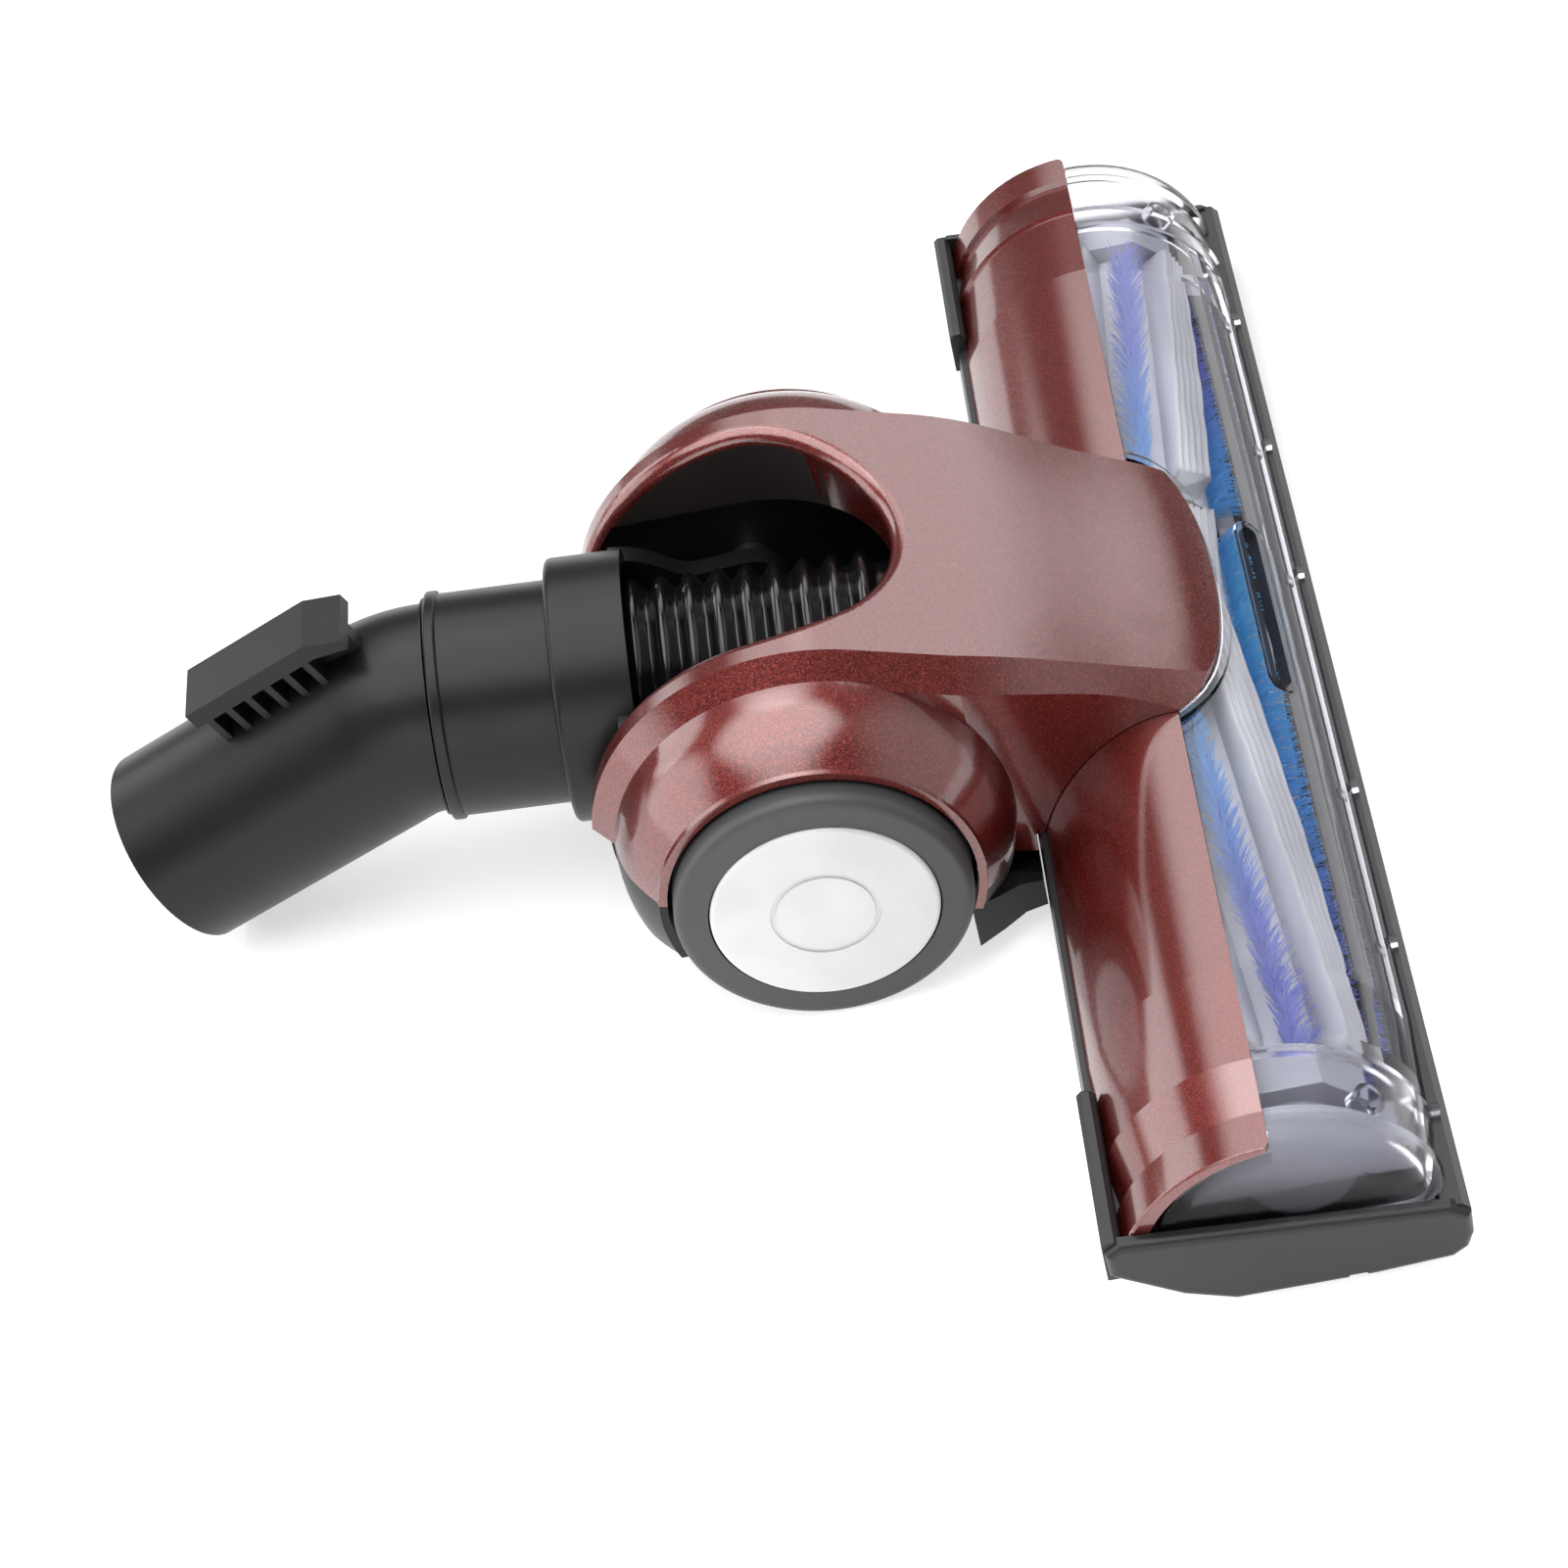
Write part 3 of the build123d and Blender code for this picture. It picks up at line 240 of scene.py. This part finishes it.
hose_black = moulded_plastic("hose_plastic", (0.005, 0.005, 0.006), 0.10, grain=1500.0, relief=0.03)
pile_red = moulded_plastic("lint_pile", (0.32, 0.03, 0.03), 0.9, grain=3000.0, relief=0.6)
# Near-black plastic laid on the cover's downward and hidden faces as painted shade
painted_shade_black = moulded_plastic("painted_shade_plastic", (0.012, 0.008, 0.008), 0.5)
bristle_blue = bristle_nylon("blue_bristle")

finishes = {
    copper: ["hood", "body_cover"],
    clear: ["window"],
    base_black: ["base"],
    black: ["lower_tray", "neck_yoke", "neck_tube", "swivel_ring", "elbow", "turbine_housing"],
    hub_dark: ["hub_left", "hub_right"],
    tyre_dark: ["tyre_left", "tyre_right"],
    white: ["cap_left", "cap_right"],
    grey: ["bearing_left", "bearing_right", "turbine_wheel"],
    core_grey: ["roll_core"],
    steel: ["wheel_axles", "pivot_pins", "base_screws"],
    belt_black: ["drive_belt"],
    pile_red: ["lint_strips"],
}
for material, names in finishes.items():
    for name in names:
        mesh = nodes[name].data
        mesh.materials.clear()
        mesh.materials.append(material)


# Second materials on some faces of the solids
def paint_faces(name, material, chosen):
    """Give one more material to the chosen faces of a solid."""
    mesh = nodes[name].data
    mesh.materials.append(material)
    added = len(mesh.materials) - 1
    for face in mesh.polygons:
        if chosen(face):
            face.material_index = added


tread_end_x = 0.0518


def tyre_tread(face):
    """True for the tread of a tyre, with the groove at its outer side."""
    return abs(face.center.x) < tread_end_x


for name in ("tyre_left", "tyre_right"):
    paint_faces(name, tread_dark, tyre_tread)

cover_mesh = nodes["body_cover"].data
cover_tree = BVHTree.FromPolygons(
    [vertex.co for vertex in cover_mesh.vertices],
    [tuple(face.vertices) for face in cover_mesh.polygons],
)
down_normal = -0.2
ray_lift = 0.0003
ray_reach = 0.09


def cover_shaded_faces(face):
    """True for faces of the cover that look down or at another of its walls, which get painted shade."""
    if face.normal.z < down_normal:
        return True
    start = face.center + face.normal * ray_lift
    hit = cover_tree.ray_cast(start, face.normal, ray_reach)[0]
    return hit is not None


# Faces of the cover that look down or at its other walls, such as inside the wheel arches, get
# near-black plastic as painted shade
paint_faces("body_cover", painted_shade_black, cover_shaded_faces)

window_end_x = 0.1112
window_foot_z = 0.0145
upright_normal = 0.8
vent_x = -0.0035
vent_lean = math.radians(42.0)
vent_half_length = 0.0215
vent_half_width = 0.0016
vent_margin = 0.0002
vent_wall_lean = 0.3
vent_out = Vector((0, -math.sin(vent_lean), math.cos(vent_lean)))
vent_across = Vector((0, math.cos(vent_lean), math.sin(vent_lean)))
vent_place = Vector((vent_x, dome_y, dome_z)) + vent_out * dome_r


def window_foot(face):
    """True between the ends for faces that look to the front or rear, and for the foot and its clips."""
    low_or_upright = abs(face.normal.y) > upright_normal or face.center.z < window_foot_z
    return low_or_upright and abs(face.center.x) < window_end_x


def window_end(face):
    """True for the window's two end bands and end walls."""
    return abs(face.center.x) >= window_end_x


def vent_wall(face):
    """True for the walls inside the vent slot."""
    away = face.center - vent_place
    in_length = abs(away.x) < vent_half_length + vent_margin
    in_width = abs(away.dot(vent_across)) < vent_half_width + vent_margin
    return in_length and in_width and abs(face.normal.dot(vent_out)) < vent_wall_lean


# The window's front and rear faces and its foot get the deeper tint as painted shade, darkening the
# bright floor seen in them
paint_faces("window", clear_shaded, window_foot)
paint_faces("window", clear_end, window_end)
# The walls inside the vent slot are painted dark as painted shade, so the slot looks black as when seen
# at a slant
paint_faces("window", vent_shade_dark, vent_wall)


# Piece helpers
def piece_from(name, builder, material, body):
    """New smooth piece from a filled bmesh, riding on a body if one is given."""
    mesh = bpy.data.meshes.new(name)
    builder.to_mesh(mesh)
    builder.free()
    for face in mesh.polygons:
        face.use_smooth = True
    mesh.materials.append(material)
    piece = bpy.data.objects.new(name, mesh)
    bpy.context.scene.collection.objects.link(piece)
    if body:
        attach(piece, body)
    return piece


def join_loops(builder, first, second):
    """Faces between two closed loops that have as many vertices each."""
    count = len(first)
    for here in range(count):
        after = (here + 1) % count
        builder.faces.new((first[here], first[after], second[after], second[here]))


# Ribbed hose between the head and the neck
def neck_point(along, radius, angle):
    """Place at a distance along the neck axis, out from it at an angle."""
    up = Vector((0, -math.sin(neck_rise), math.cos(neck_rise)))
    ahead = Vector((0, math.cos(neck_rise), math.sin(neck_rise)))
    out = Vector((math.cos(angle), 0, 0)) + up * math.sin(angle)
    return Vector((0, axle_y, neck_z)) + ahead * along + out * radius


def hose_profile():
    """(along, radius) pairs of the ribbed hose, outside then back along the bore."""
    valley_r = 0.0160
    cuff = 0.004
    cuff_r = hose_bore_r + 0.0008
    cuff_share = 0.9
    steps = 16
    fullness = 0.7
    pitch = (hose_rear - hose_front - 2 * cuff) / hose_ridges
    points = [(hose_front, cuff_r), (hose_front + cuff * cuff_share, cuff_r)]
    for ridge in range(hose_ridges):
        for step in range(steps):
            share = step / steps
            wave = 0.5 - 0.5 * math.cos(2 * math.pi * share)
            height = wave ** fullness
            radius = valley_r + (hose_top_r - valley_r) * height
            points.append((hose_front + cuff + (ridge + share) * pitch, radius))
    points.append((hose_rear - cuff, valley_r))
    points.append((hose_rear, cuff_r))
    points.append((hose_rear, hose_bore_r))
    points.append((hose_front, hose_bore_r))
    return points


def ribbed_hose():
    turns = 72
    angles = [2 * math.pi * number / turns for number in range(turns)]
    builder = bmesh.new()
    rings = []
    for along, radius in hose_profile():
        rings.append([builder.verts.new(neck_point(along, radius, angle)) for angle in angles])
    for first, second in zip(rings, rings[1:] + rings[:1]):
        join_loops(builder, first, second)
    bmesh.ops.recalc_face_normals(builder, faces=builder.faces)
    return builder


hose = piece_from("ribbed_hose", ribbed_hose(), hose_black, None)
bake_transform(hose)
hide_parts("hose")


# Bristles of the roll, as separate hairs in a chevron
def roll_point(x, radius, degrees):
    """Place on the brush roll, at an angle from the top toward the window."""
    turn = math.radians(degrees)
    return Vector((x, roll_y - radius * math.sin(turn), roll_z + radius * math.cos(turn)))


def add_hair(builder, foot, tip, radius):
    """Three-sided hair that narrows to its tip."""
    sides = 3
    tip_share = 0.5
    cross_heading = Vector((1, 0.3, 0.2))
    along = (tip - foot).normalized()
    side = along.cross(cross_heading).normalized()
    other = along.cross(side)
    low = []
    high = []
    for number in range(sides):
        turn = 2 * math.pi * number / sides
        out = side * math.cos(turn) + other * math.sin(turn)
        low.append(builder.verts.new(foot + out * radius))
        high.append(builder.verts.new(tip + out * radius * tip_share))
    join_loops(builder, low, high)
    builder.faces.new(high)


def bristle_hairs():
    """Tufts of leaning hairs in rows, with a gap for the belt."""
    tuft_pitch = 0.0022
    tuft_hairs = 24
    first_tuft = 0.001
    hair_r = 0.00016
    foot_sink = 0.0004
    foot_spread = 0.0009
    foot_turn = 6
    most_lean = 15
    tip_uneven = 0.0012
    tip_spread = 0.0012
    tip_limit = roll_half - 0.0006
    row_step = 360.0 / row_count
    builder = bmesh.new()
    tufts = int(2 * roll_half / tuft_pitch)
    for row in range(row_count):
        start = strip_phase - row_step / 2 + row * row_step
        for number in range(tufts):
            x = -roll_half + first_tuft + number * tuft_pitch
            if belt_gap[0] < x < belt_gap[1]:
                continue
            angle = start + row_twist * abs(x)
            for hair in range(tuft_hairs):
                foot_x = x + random.uniform(-foot_spread, foot_spread)
                foot_angle = angle + random.uniform(-foot_turn, foot_turn)
                foot = roll_point(foot_x, core_r - foot_sink, foot_angle)
                lean = random.uniform(-most_lean, most_lean)
                reach = roll_r - random.uniform(0.0, tip_uneven)
                tip_x = foot.x + random.uniform(-tip_spread, tip_spread)
                tip_x = max(-tip_limit, min(tip_limit, tip_x))
                tip = roll_point(tip_x, reach, angle + lean)
                add_hair(builder, foot, tip, hair_r)
    return builder


bristles = piece_from("bristle_hairs", bristle_hairs(), bristle_blue, "brush_roll")
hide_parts("bristle_rows")


# White strips between the bristle rows, ribbed along their length
def strip_point(x, degrees, across, radius):
    """Place on a strip, across its width and out from the roll's axis."""
    turn = math.radians(degrees)
    out = Vector((0, -math.sin(turn), math.cos(turn)))
    side = Vector((0, math.cos(turn), math.sin(turn)))
    return Vector((x, roll_y, roll_z)) + out * radius + side * across


def strip_section(x, row):
    """Outline of one strip at a place along the roll, from foot to foot over its ridges."""
    ribs = 5
    across_steps = 30
    half_width = 0.0034
    foot_half = half_width * 0.9
    foot_r = core_r - 0.0003
    top_r = roll_r - 0.0014
    ridge = 0.0008
    waver_height = 0.00012
    waver_pace = 420.0
    turn = strip_phase + row * 360.0 / row_count + row_twist * abs(x)
    waver = waver_height * math.sin(x * waver_pace + row)
    section = [strip_point(x, turn, -foot_half, foot_r)]
    for step in range(across_steps + 1):
        share = step / across_steps
        wave = abs(math.sin(math.pi * ribs * share))
        across = half_width * (2 * share - 1)
        section.append(strip_point(x, turn, across, top_r + ridge * wave + waver))
    section.append(strip_point(x, turn, foot_half, foot_r))
    return section


def ribbed_strips():
    """Soft strips in the same chevron, each with fine ridges on its outer side."""
    slice_length = 0.002
    fewest_slices = 8
    spans = [(-roll_half, 0.0), (0.0, belt_gap[0]), (belt_gap[1], roll_half)]
    builder = bmesh.new()
    for row in range(row_count):
        for low, high in spans:
            count = max(fewest_slices, int((high - low) / slice_length))
            sections = []
            for number in range(count + 1):
                x = low + (high - low) * number / count
                sections.append([builder.verts.new(point) for point in strip_section(x, row)])
            for first, second in zip(sections, sections[1:]):
                join_loops(builder, first, second)
            builder.faces.new(sections[0])
            builder.faces.new(list(reversed(sections[-1])))
    bmesh.ops.recalc_face_normals(builder, faces=builder.faces)
    return builder


strips = piece_from("ribbed_strips", ribbed_strips(), strip_white, "brush_roll")
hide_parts("soft_strips")


# Pale floor that glows a little, more on the camera's side
def floor_white(name):
    """Matt near-white paint, with a glow that grows from the far side to the near one."""
    tone_scale = 3.0
    glow_edge = 0.15
    least_glow = 0.3
    most_glow = 0.8
    material, tree, shader = new_material(name)
    stops = [(0.3, (0.58, 0.58, 0.58)), (0.7, (0.60, 0.60, 0.60))]
    tree.links.new(ramp(tree, noise(tree, tone_scale), stops), shader.inputs["Base Color"])
    shader.inputs["Roughness"].default_value = 0.9
    shader.inputs["Emission Color"].default_value = (1.0, 1.0, 1.0, 1.0)
    split = tree.nodes.new("ShaderNodeSeparateXYZ")
    tree.links.new(object_coords(tree), split.inputs["Vector"])
    glow = tree.nodes.new("ShaderNodeMapRange")
    glow.interpolation_type = "SMOOTHSTEP"
    glow.inputs["From Min"].default_value = glow_edge
    glow.inputs["From Max"].default_value = -glow_edge
    glow.inputs["To Min"].default_value = least_glow
    glow.inputs["To Max"].default_value = most_glow
    tree.links.new(split.outputs["X"], glow.inputs["Value"])
    tree.links.new(glow.outputs["Result"], shader.inputs["Emission Strength"])
    return material


floor_half = 4.0
floor_corners = [(x * floor_half, y * floor_half, 0) for x, y in ((-1, -1), (1, -1), (1, 1), (-1, 1))]
floor_mesh = bpy.data.meshes.new("floor")
floor_mesh.from_pydata(floor_corners, [], [(0, 1, 2, 3)])
floor_mesh.materials.append(floor_white("floor_paint"))
floor = bpy.data.objects.new("floor", floor_mesh)
bpy.context.scene.collection.objects.link(floor)

# Studio light as soft patches of a white dome, each with a bright middle and a smooth fade
world = bpy.data.worlds.new("studio")
bpy.context.scene.world = world
world.use_nodes = True
dome = world.node_tree
sky = dome.nodes["Background"]
sky.inputs["Color"].default_value = (1.0, 1.0, 1.0, 1.0)
dome_heading = dome.nodes.new("ShaderNodeTexCoord").outputs["Generated"]


def soft_patch(heading, full, fade, level):
    """Light from one side of the dome, whole inside one angle and gone at the next."""
    near = vector_math(dome, "DOT_PRODUCT")
    near.inputs[1].default_value = Vector(heading).normalized()
    dome.links.new(dome_heading, near.inputs[0])
    share = dome.nodes.new("ShaderNodeMapRange")
    share.interpolation_type = "SMOOTHSTEP"
    share.inputs["From Min"].default_value = math.cos(math.radians(fade))
    share.inputs["From Max"].default_value = math.cos(math.radians(full))
    share.inputs["To Min"].default_value = 0.0
    share.inputs["To Max"].default_value = level
    dome.links.new(near.outputs["Value"], share.inputs["Value"])
    return share.outputs["Result"]


# Heading of each patch, the angles where it is whole and where it is gone, and its strength
patches = [
    ((-0.05, 0.15, 0.98), 25.0, 38.0, 3.5),
    ((0.606, 0.107, 0.788), 10.0, 22.0, 2.6),
    ((0.552, 0.76, 0.342), 12.0, 19.0, 2.8),
    ((0.748, -0.333, 0.574), 8.0, 21.0, 2.4),
    ((-0.97, 0.10, 0.20), 10.0, 26.0, 2.6),
    ((-0.084, 0.962, 0.259), 16.0, 32.0, 2.8),
    ((-0.08, -0.92, 0.37), 16.0, 46.0, 0.8),
]
dome_level = 0.14
light = None
for heading, full, fade, level in patches:
    total = dome.nodes.new("ShaderNodeMath")
    total.operation = "ADD"
    dome.links.new(soft_patch(heading, full, fade, level), total.inputs[0])
    if light is None:
        total.inputs[1].default_value = dome_level
    else:
        dome.links.new(light, total.inputs[1])
    light = total.outputs["Value"]
dome.links.new(light, sky.inputs["Strength"])

# One weak softbox over the part
softbox = bpy.data.lights.new("overhead_box", "AREA")
softbox.size = 1.2
softbox.energy = 1.5
softbox_lamp = bpy.data.objects.new("overhead_box", softbox)
softbox_lamp.location = (-0.05, 0.15, 1.5)
bpy.context.scene.collection.objects.link(softbox_lamp)

# Camera at the photograph's place, with the photograph's 1601 pixel frame
camera_place = Vector((-0.54618, -0.06957, 0.52358))
camera_ahead = Vector((0.7220, 0.0808, -0.6871)).normalized()
camera_right = Vector((-0.0716, -0.9791, -0.1904))
camera_right = (camera_right - camera_ahead * camera_right.dot(camera_ahead)).normalized()
camera_up = camera_right.cross(camera_ahead)
photo_width = 1601.0
focal_pixels = 4125.9
camera_data = bpy.data.cameras.new("camera")
camera_data.sensor_width = 36.0
camera_data.lens = camera_data.sensor_width * focal_pixels / photo_width
camera_data.clip_start = 0.01
camera = bpy.data.objects.new("camera", camera_data)
camera_turn = Matrix((camera_right, camera_up, -camera_ahead)).transposed()
camera.matrix_world = Matrix.Translation(camera_place) @ camera_turn.to_4x4()
bpy.context.scene.collection.objects.link(camera)
bpy.context.scene.camera = camera
bpy.context.scene.view_settings.view_transform = "Standard"
